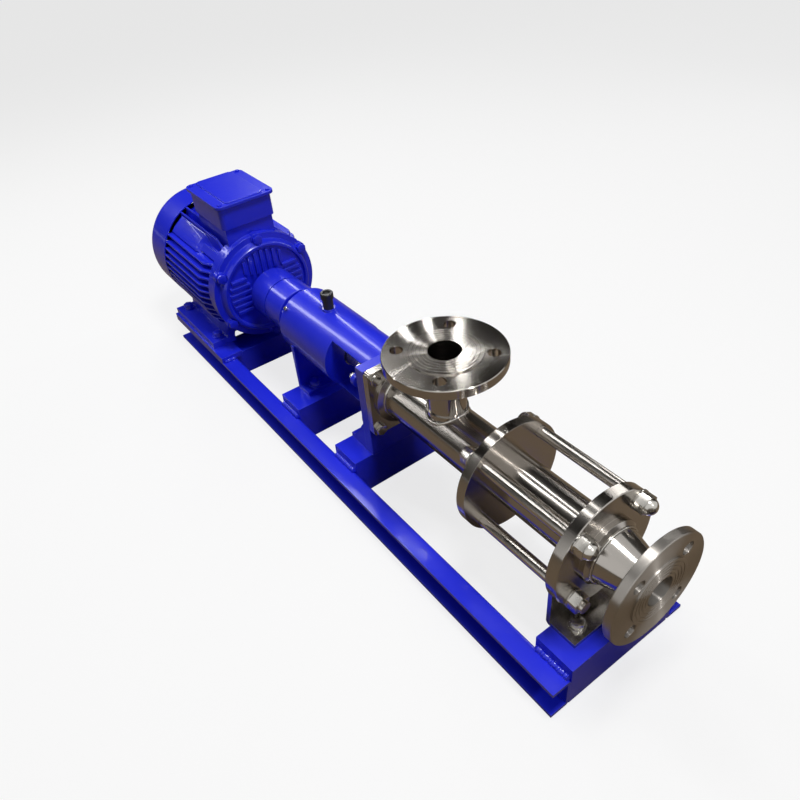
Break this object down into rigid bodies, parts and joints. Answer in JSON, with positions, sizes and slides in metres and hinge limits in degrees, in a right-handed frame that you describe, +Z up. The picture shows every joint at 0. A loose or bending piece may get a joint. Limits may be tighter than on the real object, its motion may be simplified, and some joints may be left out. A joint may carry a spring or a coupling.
{
  "type": "progressive cavity pump",
  "caption": "Motor-driven single-screw pump on a channel base, with an upward suction flange, a tie-rod stator and an end discharge flange.",
  "frame": {"origin": "on the ground under the middle of the set", "axes": "+X along the pump axis from the motor to the discharge flange, +Z up, suction flange faces +Z"},
  "size_m": [1.175, 0.238, 0.342],
  "materials": {
    "blue_paint": "gloss",
    "stainless": "turned and polished",
    "fasteners": "bright",
    "machined_steel": "ground",
    "rubber": "matt",
    "black_plastic": "satin",
    "packing": "braided",
    "windings": "varnished",
    "core_steel": "laminated"
  },
  "bodies": {
    "pump_set": {"beam_front": "blue_paint", "beam_front_leg": "blue_paint", "beam_motor": "blue_paint", "beam_rear_leg": "blue_paint", "beam_tail": "blue_paint", "bearing_cover": "blue_paint", "bearing_cover_screws": "blue_paint", "bearing_housing": "blue_paint", "cable_entry_plug": "black_plastic", "casing_bolts": "fasteners", "discharge_flange": "stainless", "discharge_head": "stainless", "dome_nuts": "fasteners", "drive_end_shield": "blue_paint", "fan_cowl": "blue_paint", "gland_follower": "blue_paint", "gland_packing": "packing", "gland_studs": "fasteners", "housing_foot_bolts": "blue_paint", "lower_nuts": "fasteners", "motor_bearing_outer_rings": "machined_steel", "motor_foot_bolts": "blue_paint", "motor_frame": "blue_paint", "motor_pad_far": "blue_paint", "motor_pad_near": "blue_paint", "motor_stator_core": "core_steel", "motor_windings": "windings", "oil_cap": "black_plastic", "pump_bearing_outer_rings": "machined_steel", "rail_far": "blue_paint", "rail_near": "blue_paint", "rear_end_shield": "blue_paint", "rear_nuts": "fasteners", "shield_bolts": "blue_paint", "stator_rubber": "rubber", "stator_tube": "stainless", "suction_casing": "stainless", "suction_flange": "stainless", "support_foot": "stainless", "support_foot_bolts": "fasteners", "terminal_board": "black_plastic", "terminal_box": "blue_paint", "terminal_box_lid": "blue_paint", "terminal_lid_screws": "blue_paint", "tie_rods": "stainless"},
    "motor_rotor": {"motor_shaft": "machined_steel", "motor_rotor_core": "core_steel", "cooling_fan": "black_plastic", "motor_bearing_inner_rings": "machined_steel", "coupling_motor_hub": "blue_paint", "coupling_spider": "rubber"},
    "pump_shaft": {"drive_shaft": "machined_steel", "coupling_pump_hub": "blue_paint", "pump_bearing_inner_rings": "machined_steel", "joint_pin_rear": "machined_steel"},
    "rear_joint_boot": {"joint_boot_rear": "rubber"},
    "connecting_rod": {"connecting_rod": "machined_steel"},
    "rotor": {"rotor": "machined_steel", "joint_pin_front": "machined_steel", "joint_boot_front": "rubber"}
  },
  "joints": [
    {"name": "motor_spin", "type": "hinge", "parent": "pump_set", "child": "motor_rotor", "pos_m": [-0.3655, 0, 0.172], "axis": [1, 0, 0], "continuous": true},
    {"name": "pump_shaft_spin", "type": "hinge", "parent": "pump_set", "child": "pump_shaft", "pos_m": [-0.0655, 0, 0.172], "axis": [1, 0, 0], "continuous": true},
    {"name": "joint_orbit", "type": "hinge", "parent": "pump_set", "child": "rear_joint_boot", "pos_m": [0.1705, 0, 0.172], "axis": [1, 0, 0], "continuous": true},
    {"name": "rod_spin", "type": "hinge", "parent": "rear_joint_boot", "child": "connecting_rod", "pos_m": [0.1705, 0, 0.172], "axis": [0.9995, 0.0321, 0], "continuous": true},
    {"name": "rotor_spin", "type": "hinge", "parent": "rear_joint_boot", "child": "rotor", "pos_m": [0.3105, 0.0045, 0.172], "axis": [1, 0, 0], "continuous": true}
  ],
  "couplings": [
    {"joint": "pump_shaft_spin", "follows": "motor_spin", "ratio": 1},
    {"joint": "joint_orbit", "follows": "motor_spin", "ratio": -1},
    {"joint": "rod_spin", "follows": "motor_spin", "ratio": 2},
    {"joint": "rotor_spin", "follows": "motor_spin", "ratio": 2}
  ]
}
